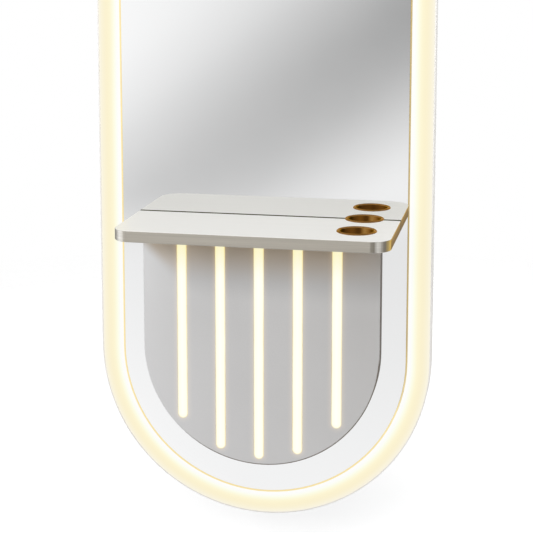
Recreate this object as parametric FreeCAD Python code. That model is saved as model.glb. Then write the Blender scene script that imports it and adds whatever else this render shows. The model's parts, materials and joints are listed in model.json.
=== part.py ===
"""Wall-mounted styling station: lit mirror, two-board shelf with tool sleeves and a slotted light panel.

Millimetres. X runs across, the wall is the plane Y = 0, the front faces -Y and Z is up. The origin is on
the wall, in the middle of the wall holes. A depth is a distance from the wall towards the front.
"""
import FreeCAD
import Part
import math
import os

# Mirror, trim and glowing ring
overall_width = 720.0
overall_height = 1800.0
ring_width = 49.0
rim_wall = 2.5
rim_ledge_width = 8.0
rim_ledge_thickness = 2.0
diffuser_seat = 10.0
diffuser_edge_radius = 1.5
trim_width = 3.0
trim_proud = 0.8
glass_thickness = 5.0
pad_thickness = 1.5
pad_width = 25.0
pad_offset = 50.0
carrier_thickness = 4.0
nesting_gap = 0.3

# Wall rails and hangers
cleat_sheet = 3.0
cleat_clearance = 0.5
wall_hole_spacing_x = 400.0
wall_hole_spacing_z = 900.0
wall_hole_radius = 4.5
rail_end = 40.0
rail_half_height = 20.0
lip_height = 15.0
tongue_height = 12.0
hanger_flange_height = 30.0
hanger_end = 60.0
hanger_bolt_radius = 3.0
hanger_bolt_head_radius = 5.5
hanger_bolt_head_height = 3.0
bumper_radius = 14.0

# Ladder frame and back sheet
back_sheet_thickness = 1.5
frame_depth = 25.0
upright_width = 40.0
upright_end_gap = 30.0
crossbar_height = 40.0
crossbar_depth = 15.0
crossbar_inset = 60.0
tube_wall = 2.0
back_screw_radius = 2.0
back_screw_head_radius = 4.0
back_screw_head_height = 2.0
back_screw_rows = 4
back_screw_row_pitch = 240.0
back_screw_arc_angles = (30.0, 90.0, 150.0)

# Lighting of the ring and the supply
channel_wall = 3.0
channel_inset = 3.0
ring_strip_thickness = 1.5
ring_strip_width = 10.0
ring_strip_from_carrier = 8.0
driver_width = 60.0
driver_length = 180.0
driver_height = 22.0
driver_bottom = 60.0
driver_corner_radius = 3.0
driver_tab_length = 12.0
driver_tab_thickness = 2.0
driver_screw_radius = 2.0
driver_screw_head_radius = 4.0
driver_screw_head_height = 2.0
terminal_width = 36.0
terminal_length = 26.0
terminal_height = 18.0
terminal_gap = 20.0
lead_radius = 2.5
lead_bend_radius = 14.0
lead_hole_clearance = 3.0
lead_height = 11.0
ring_lead_x = -15.0
grommet_x = -60.0
grommet_z = 27.0
grommet_flange_radius = 11.0
grommet_flange_thickness = 2.0
grommet_neck_radius = 8.0
grommet_bore_radius = 5.0

# Shelf
shelf_width = 526.0
shelf_depth = 392.0
shelf_thickness = 21.5
shelf_top = -195.0
shelf_offset = 50.5
shelf_front_corner_radius = 36.0
shelf_rear_corner_radius = 46.0
shelf_edge_radius = 1.5
skin_thickness = 1.2
seam_gap = 6.0
gasket_thickness = 2.0
gasket_margin = 2.0
dowel_radius = 4.0
dowel_length = 50.0
dowel_end_room = 1.0
dowel_beside_arm = 45.0

# Tool sleeves
sleeve_bore_radius = 32.5
sleeve_wall = 1.5
sleeve_flange_width = 4.0
sleeve_flange_thickness = 2.0
sleeve_flange_rounding = 0.9
sleeve_clearance = 0.4
sleeve_below_shelf = 4.0
sleeve_from_right = 71.0
sleeve_first_from_back = 80.0
sleeve_pitch = 114.0
sleeve_names = ("rear", "middle", "front")

# Shelf arms and their fasteners
arm_width = 40.0
arm_thickness = 6.0
arm_reach = 330.0
arm_leg = 130.0
arm_inner_radius = 8.0
arm_bolt_first = 43.0
arm_bolt_pitch = 60.0
arm_bolt_radius = 4.0
arm_bolt_head_radius = 6.5
arm_bolt_head_height = 5.0
arm_bolt_into_frame = 15.0
nut_flats = 13.0
nut_height = 6.5
bush_wall = 1.8
hole_clearance = 0.4
thread_clearance = 0.05
arm_screw_radius = 2.4
arm_screw_head_radius = 5.0
arm_screw_into_board = 8.0
arm_screw_rear = 60.0
arm_screw_front = 50.0
arm_screw_pitch = 65.0

# Light panel under the shelf
panel_width = 512.0
panel_proud = 30.0
panel_sheet = 1.5
panel_edge_radius = 1.2
panel_top_gap = 12.0
panel_arc_raise = 17.0
plate_thickness = 2.0
bar_count = 5
bar_pitch = 84.0
bar_row_offset = -3.0
bar_width = 22.0
bar_margin = 12.5
bar_top_margin = 25.0
bar_proud = 0.5
bar_flange_width = 4.0
bar_flange_thickness = 2.5
strip_width = 8.0
strip_thickness = 1.6
jumper_width = 6.0
jumper_thickness = 1.0
jumper_below_arm = 23.0
connector_width = 40.0
connector_height = 20.0
connector_depth = 8.5
connector_below_shelf = 53.0
post_radius = 5.0
post_below_arm = 63.0
post_above_edge = 87.0
plate_screw_radius = 2.4
plate_screw_head_radius = 5.0
plate_screw_head_height = 3.0
plate_screw_below_arm = 103.0
plate_screw_above_edge = 127.0

# Places that follow from the sizes
outer_radius = overall_width / 2
half_straight = overall_height / 2 - outer_radius
rim_inner_radius = outer_radius - rim_wall
trim_outer_radius = outer_radius - ring_width
trim_inner_radius = trim_outer_radius - trim_width
glass_radius = trim_inner_radius - nesting_gap
carrier_radius = trim_outer_radius + diffuser_seat
channel_outer_radius = carrier_radius - channel_inset
channel_inner_radius = channel_outer_radius - channel_wall

lip_back = cleat_sheet + 2 * cleat_clearance
lip_front = lip_back + cleat_sheet
flange_back = lip_front + cleat_clearance
housing_back = flange_back + cleat_sheet
frame_back = housing_back + back_sheet_thickness
carrier_back = frame_back + frame_depth
carrier_front = carrier_back + carrier_thickness
glass_back = carrier_front + pad_thickness
mirror_front = glass_back + glass_thickness

shelf_back = mirror_front + gasket_thickness
shelf_front = shelf_back + shelf_depth
shelf_left = shelf_offset - shelf_width / 2
shelf_right = shelf_offset + shelf_width / 2
shelf_bottom = shelf_top - shelf_thickness
seam_depth = shelf_back + sleeve_first_from_back + sleeve_pitch
seam_back = seam_depth - seam_gap / 2
seam_front = seam_depth + seam_gap / 2
sleeve_x = shelf_right - sleeve_from_right
sleeve_outer_radius = sleeve_bore_radius + sleeve_wall
sleeve_hole_radius = sleeve_outer_radius + sleeve_clearance
sleeve_flange_radius = sleeve_outer_radius + sleeve_flange_width

panel_radius = panel_width / 2
panel_centre_z = panel_arc_raise - half_straight
panel_bottom = panel_centre_z - panel_radius
panel_front = mirror_front + panel_proud
panel_face_back = panel_front - panel_sheet
panel_top = shelf_bottom - panel_top_gap
plate_front = mirror_front + plate_thickness
bar_radius = bar_width / 2
bar_end_circle = panel_radius - panel_arc_raise - bar_margin - bar_radius
bar_high = panel_top - bar_top_margin - bar_radius
bar_xs = [(i - (bar_count - 1) / 2) * bar_pitch + bar_row_offset for i in range(bar_count)]

arm_x = (bar_count / 2 - 1) * bar_pitch
arm_xs = (-arm_x, arm_x)
arm_leg_bottom = shelf_bottom - arm_leg
arm_bolt_zs = [shelf_bottom - arm_bolt_first - i * arm_bolt_pitch for i in range(2)]
arm_screw_depths = [shelf_back + arm_screw_rear + i * arm_screw_pitch for i in range(2)]
arm_screw_depths += [seam_depth + arm_screw_front + i * arm_screw_pitch for i in range(2)]
post_places = [(x, arm_leg_bottom - post_below_arm) for x in arm_xs]
post_places += [(s * bar_pitch / 2, panel_bottom + post_above_edge) for s in (-1, 1)]
plate_screw_places = [(x, arm_leg_bottom - plate_screw_below_arm) for x in arm_xs]
plate_screw_places += [(s * bar_pitch / 2, panel_bottom + plate_screw_above_edge) for s in (-1, 1)]

upright_end = half_straight - upright_end_gap + math.sqrt(
    channel_inner_radius ** 2 - (arm_x + upright_width / 2) ** 2)
wall_hole_zs = (-wall_hole_spacing_z / 2, wall_hole_spacing_z / 2)
lip_top = rail_half_height + lip_height
hanger_bolt_rise = lip_top + hanger_flange_height / 2
bumper_z = upright_end - crossbar_inset
driver_top = driver_bottom + driver_length
driver_screw_zs = (driver_bottom - driver_tab_length / 2, driver_top + driver_tab_length / 2)
terminal_top = driver_bottom - terminal_gap
lead_x = strip_width / 2 + connector_width / 2 + bar_xs[bar_count // 2]
lead_hole_radius = lead_radius + lead_hole_clearance
connector_z = shelf_bottom - connector_below_shelf
lead_depth = frame_back + lead_height
ring_lead_depth = frame_back + crossbar_depth + 2 * lead_radius


def point(x, depth, z):
    """A place given across, by its depth from the wall, and by its height."""
    return FreeCAD.Vector(x, -depth, z)


def block(x0, x1, depth0, depth1, z0, z1):
    """Box between two sides, two depths and two heights."""
    return Part.makeBox(x1 - x0, depth1 - depth0, z1 - z0, point(x0, depth1, z0))


def rod(radius, x, z, depth0, depth1):
    """Round bar square to the wall."""
    return Part.makeCylinder(radius, depth1 - depth0, point(x, depth1, z), FreeCAD.Vector(0, 1, 0))


def post(radius, x, depth, z0, z1):
    """Upright round bar."""
    return Part.makeCylinder(radius, z1 - z0, point(x, depth, z0))


def outline_solid(edges, depth0, depth1):
    """Solid whose outline, drawn at the front depth, reaches back to the rear depth."""
    face = Part.Face(Part.Wire(edges))
    return face.extrude(FreeCAD.Vector(0, depth1 - depth0, 0))


def line(start, end):
    return Part.LineSegment(start, end).toShape()


def arc(start, middle, end):
    return Part.Arc(start, middle, end).toShape()


def capsule(x, z_low, z_high, radius, depth0, depth1):
    """Upright plate with two straight sides and round ends about the two heights given."""
    low_left = point(x - radius, depth1, z_low)
    low_right = point(x + radius, depth1, z_low)
    high_left = point(x - radius, depth1, z_high)
    high_right = point(x + radius, depth1, z_high)
    edges = [
        line(high_left, low_left),
        arc(low_left, point(x, depth1, z_low - radius), low_right),
        line(low_right, high_right),
        arc(high_right, point(x, depth1, z_high + radius), high_left),
    ]
    return outline_solid(edges, depth0, depth1)


def mirror_shape(radius, depth0, depth1):
    """Plate with the mirror's outline, at any distance from its centre line."""
    return capsule(0, -half_straight, half_straight, radius, depth0, depth1)


def mirror_band(inner_radius, outer_radius_, depth0, depth1):
    """Closed band that follows the mirror's outline."""
    return mirror_shape(outer_radius_, depth0, depth1).cut(mirror_shape(inner_radius, depth0, depth1))


def panel_shape(radius, top, depth0, depth1):
    """Plate with a flat top, straight sides and a half-round bottom."""
    top_left = point(-radius, depth1, top)
    top_right = point(radius, depth1, top)
    low_left = point(-radius, depth1, panel_centre_z)
    low_right = point(radius, depth1, panel_centre_z)
    edges = [
        line(top_left, low_left),
        arc(low_left, point(0, depth1, panel_centre_z - radius), low_right),
        line(low_right, top_right),
        line(top_right, top_left),
    ]
    return outline_solid(edges, depth0, depth1)


def profile_bar(corners, half_length):
    """Straight bar along X with a section given as depth and height pairs."""
    points = [point(-half_length, depth, z) for depth, z in corners]
    face = Part.Face(Part.makePolygon(points + points[:1]))
    return face.extrude(FreeCAD.Vector(2 * half_length, 0, 0))


def hexagon(flats, x, z, depth0, depth1):
    """Hexagonal prism square to the wall."""
    corner = flats / math.sqrt(3)
    points = []
    for i in range(6):
        angle = math.radians(60 * i)
        points.append(point(x + corner * math.cos(angle), depth1, z + corner * math.sin(angle)))
    face = Part.Face(Part.makePolygon(points + points[:1]))
    return face.extrude(FreeCAD.Vector(0, depth1 - depth0, 0))


def cut_all(shape, tools):
    for tool in tools:
        shape = shape.cut(tool)
    return shape


def edges_where(shape, test):
    """Edges whose every corner point passes the test."""
    return [e for e in shape.Edges if all(test(v.Point) for v in e.Vertexes)]


def at_depth(depth):
    return lambda p: abs(p.y + depth) < 1e-6


# Mirror and ring

def outer_rim():
    """Metal band round the station, with a ledge for the back sheet and one for the diffuser."""
    rim = mirror_band(rim_inner_radius, outer_radius, housing_back, mirror_front)
    ledge_radius = rim_inner_radius - rim_ledge_width
    for depth in (frame_back, carrier_front - rim_ledge_thickness):
        rim = rim.fuse(mirror_band(ledge_radius, rim_inner_radius, depth, depth + rim_ledge_thickness))
    return cut_all(rim.removeSplitter(), back_screw_shanks(back_screw_radius + thread_clearance))


def diffuser_ring():
    """Frosted ring between the rim and the trim."""
    ring = mirror_band(trim_outer_radius + nesting_gap, rim_inner_radius - nesting_gap,
                       carrier_front, mirror_front)
    return ring.makeFillet(diffuser_edge_radius, edges_where(ring, at_depth(mirror_front)))


def mirror_trim():
    """Thin bead round the glass."""
    return mirror_band(trim_inner_radius, trim_outer_radius, carrier_front, mirror_front + trim_proud)


def glass_holes(depth0, depth1, bolt_hole, screw_hole):
    """Holes for the arm bolts, the plate screws and the panel's lead."""
    holes = [rod(bolt_hole, x, z, depth0, depth1) for x in arm_xs for z in arm_bolt_zs]
    holes += [rod(screw_hole, x, z, depth0, depth1) for x, z in plate_screw_places]
    holes.append(rod(lead_hole_radius, lead_x, connector_z, depth0, depth1))
    return holes


def mirror_glass():
    bolt_hole = arm_bolt_radius + hole_clearance + bush_wall + nesting_gap
    holes = glass_holes(glass_back, mirror_front, bolt_hole, plate_screw_radius + hole_clearance)
    return cut_all(mirror_shape(glass_radius, glass_back, mirror_front), holes)


def mirror_carrier():
    """Stiff plate that the glass is bonded to."""
    bolt_hole = arm_bolt_radius + hole_clearance
    holes = glass_holes(carrier_back, carrier_front, bolt_hole, plate_screw_radius + thread_clearance)
    return cut_all(mirror_shape(carrier_radius, carrier_back, carrier_front), holes)


def mirror_pads():
    """Adhesive strips beside each column of arm bolts."""
    xs = [x + side * pad_offset for x in arm_xs for side in (-1, 1)]
    half = pad_width / 2
    return [block(x - half, x + half, carrier_front, glass_back, -half_straight, half_straight) for x in xs]


# Lighting of the ring

def led_channel():
    return mirror_band(channel_inner_radius, channel_outer_radius, frame_back, carrier_back)


def led_strip_ring():
    """Flexible light strip bonded round the channel, facing the rim."""
    front = carrier_back - ring_strip_from_carrier
    return mirror_band(channel_outer_radius, channel_outer_radius + ring_strip_thickness,
                       front - ring_strip_width, front)


# Frame, back and wall fixing

def tube(x0, x1, depth0, depth1, z0, z1, along_x):
    """Open-ended rectangular tube."""
    end_x = 0 if along_x else tube_wall
    end_z = tube_wall if along_x else 0
    inside = block(x0 + end_x, x1 - end_x, depth0 + tube_wall, depth1 - tube_wall, z0 + end_z, z1 - end_z)
    return block(x0, x1, depth0, depth1, z0, z1).cut(inside)


def frame_upright(x):
    half = upright_width / 2
    upright = tube(x - half, x + half, frame_back, carrier_back, -upright_end, upright_end, False)
    front_holes = [rod(arm_bolt_radius + hole_clearance, x, z, carrier_back - tube_wall, carrier_back)
                   for z in arm_bolt_zs]
    rear_holes = [rod(hanger_bolt_radius + hole_clearance, x, z + hanger_bolt_rise, frame_back,
                      frame_back + tube_wall) for z in wall_hole_zs]
    return cut_all(upright, front_holes + rear_holes)


def frame_crossbar(z):
    reach = arm_x - upright_width / 2
    half = crossbar_height / 2
    return tube(-reach, reach, frame_back, frame_back + crossbar_depth, z - half, z + half, True)


def crossbar_levels():
    """Heights of the crossbars, by name."""
    end = upright_end - crossbar_inset
    low, high = (z + hanger_bolt_rise for z in wall_hole_zs)
    return {"top": end, "upper": high, "lower": low, "bottom": -end}


def back_screw_places():
    """Places along the middle of the rim's ledge."""
    radius = rim_inner_radius - rim_ledge_width / 2
    places = []
    for row in range(back_screw_rows):
        z = (row - (back_screw_rows - 1) / 2) * back_screw_row_pitch
        places += [(-radius, z), (radius, z)]
    for angle in back_screw_arc_angles:
        across = radius * math.cos(math.radians(angle))
        rise = half_straight + radius * math.sin(math.radians(angle))
        places += [(across, rise), (across, -rise)]
    return places


def back_screw_shanks(radius):
    end = frame_back + rim_ledge_thickness
    return [rod(radius, x, z, housing_back, end) for x, z in back_screw_places()]


def back_screws():
    screws = []
    for (x, z), shank in zip(back_screw_places(), back_screw_shanks(back_screw_radius)):
        head = rod(back_screw_head_radius, x, z, housing_back - back_screw_head_height, housing_back)
        screws.append(head.fuse(shank).removeSplitter())
    return screws


def back_sheet():
    sheet = mirror_shape(rim_inner_radius - nesting_gap, housing_back, frame_back)
    holes = [rod(hanger_bolt_radius + hole_clearance, x, z + hanger_bolt_rise, housing_back, frame_back)
             for x in arm_xs for z in wall_hole_zs]
    holes += back_screw_shanks(back_screw_radius + thread_clearance)
    holes += [rod(driver_screw_radius + thread_clearance, 0, z, housing_back, frame_back)
              for z in driver_screw_zs]
    holes.append(rod(grommet_neck_radius + thread_clearance, grommet_x, grommet_z, housing_back, frame_back))
    return cut_all(sheet, holes)


def wall_rail(z):
    """Wall bar with an upturned lip; its holes take the wall fixings."""
    step = z + rail_half_height - cleat_sheet
    corners = [(0, z - rail_half_height), (cleat_sheet, z - rail_half_height), (cleat_sheet, step),
               (lip_front, step), (lip_front, z + lip_top), (lip_back, z + lip_top),
               (lip_back, z + rail_half_height), (0, z + rail_half_height)]
    rail = profile_bar(corners, wall_hole_spacing_x / 2 + rail_end)
    holes = [rod(wall_hole_radius, s * wall_hole_spacing_x / 2, z, 0, cleat_sheet) for s in (-1, 1)]
    return cut_all(rail, holes)


def hanger(z):
    """Bar on the back of the frame whose tongue hooks behind the rail's lip."""
    seat = z + lip_top
    web_top = seat + cleat_sheet
    tongue_front = cleat_clearance + cleat_sheet
    corners = [(cleat_clearance, seat - tongue_height), (tongue_front, seat - tongue_height),
               (tongue_front, seat), (housing_back, seat), (housing_back, seat + hanger_flange_height),
               (flange_back, seat + hanger_flange_height), (flange_back, web_top), (cleat_clearance, web_top)]
    bar = profile_bar(corners, arm_x + hanger_end)
    holes = [rod(hanger_bolt_radius + hole_clearance, x, z + hanger_bolt_rise, flange_back, housing_back)
             for x in arm_xs]
    return cut_all(bar, holes)


def hanger_bolts():
    bolts = []
    end = frame_back + tube_wall + nut_height
    for x in arm_xs:
        for z in wall_hole_zs:
            level = z + hanger_bolt_rise
            head = rod(hanger_bolt_head_radius, x, level, flange_back - hanger_bolt_head_height, flange_back)
            shank = rod(hanger_bolt_radius, x, level, flange_back, end)
            bolts.append(head.fuse(shank).removeSplitter())
    return bolts


def hanger_nuts():
    start = frame_back + tube_wall
    nuts = []
    for x in arm_xs:
        for z in wall_hole_zs:
            level = z + hanger_bolt_rise
            nut = hexagon(nut_flats, x, level, start, start + nut_height)
            thread = rod(hanger_bolt_radius + thread_clearance, x, level, start, start + nut_height)
            nuts.append(nut.cut(thread))
    return nuts


def wall_bumpers():
    """Rubber feet that keep the housing parallel to the wall."""
    return [rod(bumper_radius, x, z, 0, housing_back) for x in arm_xs for z in (-bumper_z, bumper_z)]


# Supply

def led_driver():
    half = driver_width / 2
    body = block(-half, half, frame_back, frame_back + driver_height, driver_bottom, driver_top)
    front = frame_back + driver_height
    body = body.makeFillet(driver_corner_radius, edges_where(body, at_depth(front)))
    tabs = block(-half, half, frame_back, frame_back + driver_tab_thickness,
                 driver_bottom - driver_tab_length, driver_top + driver_tab_length)
    holes = [rod(driver_screw_radius + thread_clearance, 0, z, frame_back, frame_back + driver_tab_thickness)
             for z in driver_screw_zs]
    return cut_all(body.fuse(tabs).removeSplitter(), holes)


def driver_screws():
    seat = frame_back + driver_tab_thickness
    screws = []
    for z in driver_screw_zs:
        head = rod(driver_screw_head_radius, 0, z, seat, seat + driver_screw_head_height)
        screws.append(head.fuse(rod(driver_screw_radius, 0, z, housing_back, seat)).removeSplitter())
    return screws


def terminal_block():
    half = terminal_width / 2
    return block(-half, half, frame_back, frame_back + terminal_height,
                 terminal_top - terminal_length, terminal_top)


def driver_lead():
    """Short lead from the terminal block up to the driver."""
    return post(lead_radius, 0, lead_depth, terminal_top, driver_bottom)


def ring_lead():
    """Lead from the driver up to the channel's top."""
    reach = math.sqrt(channel_inner_radius ** 2 - (abs(ring_lead_x) + lead_radius) ** 2)
    return post(lead_radius, ring_lead_x, ring_lead_depth, driver_top, half_straight + reach)


def panel_lead():
    """Lead from the driver down behind the mirror, then forward through it to the panel's connector."""
    bend = lead_bend_radius
    level = connector_z
    slant = bend * (1 - math.sqrt(0.5))
    start = point(lead_x, lead_depth, driver_bottom)
    bend_start = point(lead_x, lead_depth, level + bend)
    bend_middle = point(lead_x, lead_depth + slant, level + slant)
    bend_end = point(lead_x, lead_depth + bend, level)
    end = point(lead_x, plate_front, level)
    path = Part.Wire([line(start, bend_start), arc(bend_start, bend_middle, bend_end), line(bend_end, end)])
    section = Part.Wire([Part.Circle(start, FreeCAD.Vector(0, 0, 1), lead_radius).toShape()])
    return path.makePipeShell([section], True, False)


def cable_grommet():
    """Rubber ring in the back sheet where the supply comes in."""
    rear = housing_back - grommet_flange_thickness
    front = frame_back + grommet_flange_thickness
    ring = rod(grommet_neck_radius, grommet_x, grommet_z, rear, front)
    ring = ring.fuse(rod(grommet_flange_radius, grommet_x, grommet_z, rear, housing_back))
    ring = ring.fuse(rod(grommet_flange_radius, grommet_x, grommet_z, frame_back, front))
    return ring.removeSplitter().cut(rod(grommet_bore_radius, grommet_x, grommet_z, rear, front))


# Shelf

def is_upright(edge):
    return abs(edge.Vertexes[0].Z - edge.Vertexes[-1].Z) > shelf_thickness / 2


def board_slab(depth0, depth1, inset):
    """One board with its outer corners round, or what lies inside it at a distance from all its faces."""
    slab = block(shelf_left + inset, shelf_right - inset, depth0 + inset, depth1 - inset,
                 shelf_bottom + inset, shelf_top - inset)
    is_rear = depth0 == shelf_back
    outer = shelf_back + inset if is_rear else shelf_front - inset
    radius = shelf_rear_corner_radius if is_rear else shelf_front_corner_radius
    corners = [e for e in edges_where(slab, at_depth(outer)) if is_upright(e)]
    return slab.makeFillet(radius - inset, corners)


def board_outline(depth0, depth1):
    """One board with its top and bottom edges softened."""
    slab = board_slab(depth0, depth1, 0)
    return slab.makeFillet(shelf_edge_radius, [e for e in slab.Edges if not is_upright(e)])


def sleeve_depths():
    return [shelf_back + sleeve_first_from_back + i * sleeve_pitch for i in range(len(sleeve_names))]


def dowel_places():
    """One pin between the arms and one outside each."""
    return [-arm_x - dowel_beside_arm, 0, arm_x + dowel_beside_arm]


def dowel(x, radius, half_length):
    """Round pin across the seam, in the middle of the boards' thickness."""
    middle = (shelf_top + shelf_bottom) / 2
    return rod(radius, x, middle, seam_depth - half_length, seam_depth + half_length)


def shelf_dowels():
    return [dowel(x, dowel_radius, dowel_length / 2) for x in dowel_places()]


def board_cuts():
    """Tool holes, dowel holes, arm recesses and screw holes that go into both boards."""
    tools = [post(sleeve_hole_radius, sleeve_x, d, shelf_bottom, shelf_top) for d in sleeve_depths()]
    tools += [dowel(x, dowel_radius + thread_clearance, dowel_length / 2 + dowel_end_room)
              for x in dowel_places()]
    recess = arm_width / 2 + nesting_gap
    roof = shelf_bottom + arm_thickness + nesting_gap
    for x in arm_xs:
        end = mirror_front + arm_reach + nesting_gap
        tools.append(block(x - recess, x + recess, mirror_front, end, shelf_bottom, roof))
        tools += [arm_screw(x, d, thread_clearance) for d in arm_screw_depths]
    return tools


def shelf_skin(depth0, depth1):
    """Folded metal skin of the board between two depths."""
    return cut_all(board_outline(depth0, depth1), [board_slab(depth0, depth1, skin_thickness)] + board_cuts())


def shelf_core(depth0, depth1):
    """Wood-fibre core that fills one skin."""
    return cut_all(board_slab(depth0, depth1, skin_thickness + nesting_gap), board_cuts())


def shelf_gasket():
    """Rubber strip between the shelf's back edge and the glass."""
    return block(shelf_left + shelf_rear_corner_radius, shelf_right - shelf_rear_corner_radius,
                 mirror_front, shelf_back,
                 shelf_bottom + arm_thickness + nesting_gap, shelf_top - gasket_margin)


def tool_sleeve(depth):
    """Flanged brass liner that drops into one tool hole."""
    bottom = shelf_bottom - sleeve_below_shelf
    rim = shelf_top + sleeve_flange_thickness
    sleeve = post(sleeve_outer_radius, sleeve_x, depth, bottom, rim)
    sleeve = sleeve.fuse(post(sleeve_flange_radius, sleeve_x, depth, shelf_top, rim)).removeSplitter()
    sleeve = sleeve.cut(post(sleeve_bore_radius, sleeve_x, depth, bottom, rim))
    top_edges = edges_where(sleeve, lambda p: abs(p.z - rim) < 1e-6)
    return sleeve.makeFillet(sleeve_flange_rounding, top_edges)


def arm_screw(x, depth, clearance):
    """Countersunk screw from below, through the arm and up into a board."""
    radius = arm_screw_radius + clearance
    head_radius = arm_screw_head_radius + clearance
    tip = shelf_bottom + arm_thickness + nesting_gap + arm_screw_into_board + clearance
    head = Part.makeCone(head_radius, radius, head_radius - radius, point(x, depth, shelf_bottom))
    return head.fuse(post(radius, x, depth, shelf_bottom, tip)).removeSplitter()


def arm_screws():
    return [arm_screw(x, d, 0) for x in arm_xs for d in arm_screw_depths]


def shelf_arm(x):
    """Steel angle: its leg is bolted through the glass to an upright, its arm lies in the boards' recess."""
    half = arm_width / 2
    leg = block(x - half, x + half, mirror_front, mirror_front + arm_thickness,
                arm_leg_bottom, shelf_bottom + arm_thickness)
    bar = block(x - half, x + half, mirror_front, mirror_front + arm_reach,
                shelf_bottom, shelf_bottom + arm_thickness)
    arm = leg.fuse(bar).removeSplitter()
    corner_depth = mirror_front + arm_thickness
    inner = edges_where(arm, lambda p: abs(p.y + corner_depth) < 1e-6 and abs(p.z - shelf_bottom) < 1e-6)
    arm = arm.makeFillet(arm_inner_radius, inner)
    holes = [rod(arm_bolt_radius + hole_clearance, x, z, mirror_front, corner_depth) for z in arm_bolt_zs]
    holes += [arm_screw(x, d, hole_clearance) for d in arm_screw_depths]
    return cut_all(arm, holes)


def arm_bolts():
    """Bolts from inside the panel, through leg, bush and carrier, into the uprights."""
    seat = mirror_front + arm_thickness
    bolts = []
    for x in arm_xs:
        for z in arm_bolt_zs:
            head = rod(arm_bolt_head_radius, x, z, seat, seat + arm_bolt_head_height)
            shank = rod(arm_bolt_radius, x, z, carrier_back - arm_bolt_into_frame, seat)
            bolts.append(head.fuse(shank).removeSplitter())
    return bolts


def arm_nuts():
    front = carrier_back - tube_wall
    nuts = []
    for x in arm_xs:
        for z in arm_bolt_zs:
            nut = hexagon(nut_flats, x, z, front - nut_height, front)
            nuts.append(nut.cut(rod(arm_bolt_radius + thread_clearance, x, z, front - nut_height, front)))
    return nuts


def arm_bushes():
    """Plastic bushes that carry the bolts' clamping force past the glass."""
    inner = arm_bolt_radius + hole_clearance
    bushes = []
    for x in arm_xs:
        for z in arm_bolt_zs:
            ring = rod(inner + bush_wall, x, z, carrier_front, mirror_front)
            bushes.append(ring.cut(rod(inner, x, z, carrier_front, mirror_front)))
    return bushes


# Light panel

def bar_low(x):
    """Height of the centre of a bar's lower round end, on an arc under the middle of the row."""
    return -half_straight - math.sqrt(bar_end_circle ** 2 - (x - bar_row_offset) ** 2)


def panel_face():
    """Steel tray with a slot for each light bar and notches for the arm legs."""
    tray = panel_shape(panel_radius, panel_top, mirror_front, panel_front)
    tray = tray.makeFillet(panel_edge_radius, edges_where(tray, at_depth(panel_front)))
    inside = panel_shape(panel_radius - panel_sheet, panel_top - panel_sheet, mirror_front, panel_face_back)
    tray = tray.cut(inside)
    tools = [capsule(x, bar_low(x), bar_high, bar_radius, panel_face_back, panel_front) for x in bar_xs]
    notch = arm_width / 2 + nesting_gap
    for x in arm_xs:
        tools.append(block(x - notch, x + notch, mirror_front, mirror_front + arm_thickness + nesting_gap,
                           panel_top - panel_sheet, panel_top))
    return cut_all(tray, tools)


def panel_plate():
    """Plate on the glass that carries the panel's strips and standoffs."""
    inset = panel_sheet + nesting_gap
    plate = panel_shape(panel_radius - inset, panel_top - inset, mirror_front, plate_front)
    notch = arm_width / 2 + nesting_gap
    tools = [block(x - notch, x + notch, mirror_front, plate_front, arm_leg_bottom - nesting_gap, panel_top)
             for x in arm_xs]
    tools += [rod(plate_screw_radius + hole_clearance, x, z, mirror_front, plate_front)
              for x, z in plate_screw_places]
    tools.append(rod(lead_hole_radius, lead_x, connector_z, mirror_front, plate_front))
    return cut_all(plate, tools)


def plate_screws():
    screws = []
    for x, z in plate_screw_places:
        head = rod(plate_screw_head_radius, x, z, plate_front, plate_front + plate_screw_head_height)
        screws.append(head.fuse(rod(plate_screw_radius, x, z, carrier_back, plate_front)).removeSplitter())
    return screws


def panel_standoffs():
    return [rod(post_radius, x, z, plate_front, panel_face_back) for x, z in post_places]


def light_bar(x):
    """Frosted bar that fills one slot, with a flange behind the face."""
    bar = capsule(x, bar_low(x), bar_high, bar_radius - nesting_gap, panel_face_back, panel_front + bar_proud)
    flange = capsule(x, bar_low(x), bar_high, bar_radius + bar_flange_width,
                     panel_face_back - bar_flange_thickness, panel_face_back)
    return bar.fuse(flange).removeSplitter()


def bar_strips():
    half = strip_width / 2
    return [block(x - half, x + half, plate_front, plate_front + strip_thickness, bar_low(x), bar_high)
            for x in bar_xs]


def strip_jumpers():
    """Flat links between neighbouring strips, below the arm legs."""
    level = arm_leg_bottom - jumper_below_arm
    half = strip_width / 2
    return [block(left + half, right - half, plate_front, plate_front + jumper_thickness,
                  level - jumper_width / 2, level + jumper_width / 2)
            for left, right in zip(bar_xs, bar_xs[1:])]


def panel_connector():
    """Block beside the middle strip where the panel's lead ends."""
    half = connector_width / 2
    return block(lead_x - half, lead_x + half, plate_front, plate_front + connector_depth,
                 connector_z - connector_height / 2, connector_z + connector_height / 2)


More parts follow.
